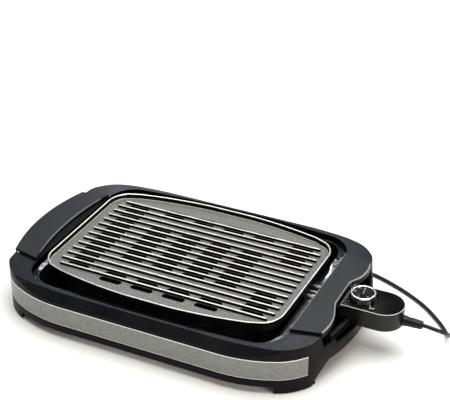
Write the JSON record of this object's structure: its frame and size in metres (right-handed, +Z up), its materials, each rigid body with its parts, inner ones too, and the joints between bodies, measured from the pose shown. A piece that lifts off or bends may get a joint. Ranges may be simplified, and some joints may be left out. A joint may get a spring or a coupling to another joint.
{
  "type": "indoor electric grill",
  "caption": "Low oval table grill: moulded base with handle panels, ribbed and slotted cooking plate over a drip tray, plug-in temperature control with dial and cord.",
  "frame": {"origin": "on the table, at the centre of the box of the grill with its controller, cord left out", "axes": "+X to the right, along the length, towards the controller; +Y to the rear; +Z up"},
  "size_m": [0.6969, 0.4482, 0.0912],
  "materials": {
    "black_plastic": "fine satin grain",
    "panel_plastic": "fine matt grain",
    "gloss_black": "polished",
    "brushed_steel": "brushed along its length",
    "nonstick": "speckled non-stick coat",
    "enamel": "glossy enamel",
    "sheath": "dull heater sheath",
    "nickel": "nickel plate",
    "chrome": "polished",
    "rubber": "matt",
    "phenolic": "moulded phenolic",
    "cord_black": "soft satin sheath"
  },
  "bodies": {
    "base": {"base_shell": "black_plastic", "top_frame": "black_plastic", "steel_band": "brushed_steel", "handle_liner_left": "black_plastic", "handle_liner_right": "black_plastic", "handle_panel_left": "panel_plastic", "handle_panel_right": "panel_plastic", "foot_pad_front_right": "rubber", "foot_pad_rear_right": "rubber", "foot_pad_rear_left": "rubber", "foot_pad_front_left": "rubber", "panel_screw_1": "nickel", "panel_screw_2": "nickel", "panel_screw_3": "nickel", "panel_screw_4": "nickel"},
    "tray": {"drip_tray": "enamel"},
    "plate": {"grill_plate": "nonstick", "heating_element": "sheath", "terminal_pin_front": "nickel", "terminal_pin_rear": "nickel"},
    "controller": {"controller_housing": "black_plastic", "controller_cover": "gloss_black", "thermostat_switch": "phenolic", "thermostat_probe": "nickel", "contact_fork_front": "nickel", "contact_fork_rear": "nickel", "strain_relief": "cord_black", "housing_screw_1": "nickel", "housing_screw_2": "nickel", "power_cord": "cord_black", "cord_coil": "cord_black", "plug_lead": "cord_black", "plug_body": "cord_black", "plug_blade_a": "nickel", "plug_blade_b": "nickel"},
    "dial": {"dial_knob": "black_plastic", "dial_ring": "chrome", "dial_face": "gloss_black", "dial_shaft": "nickel"}
  },
  "joints": [
    {"name": "tray_lift", "type": "slide", "parent": "base", "child": "tray", "axis": [0, 0, 1], "range_m": [0, 0.1]},
    {"name": "plate_lift", "type": "slide", "parent": "tray", "child": "plate", "axis": [0, 0, 1], "range_m": [0, 0.1]},
    {"name": "controller_pull", "type": "slide", "parent": "base", "child": "controller", "axis": [1, 0, 0], "range_m": [0, 0.085]},
    {"name": "dial_turn", "type": "hinge", "parent": "controller", "child": "dial", "pos_m": [0.2365, 0.0095, 0.088], "axis": [0, 0, -1], "range_deg": [0, 270]}
  ]
}
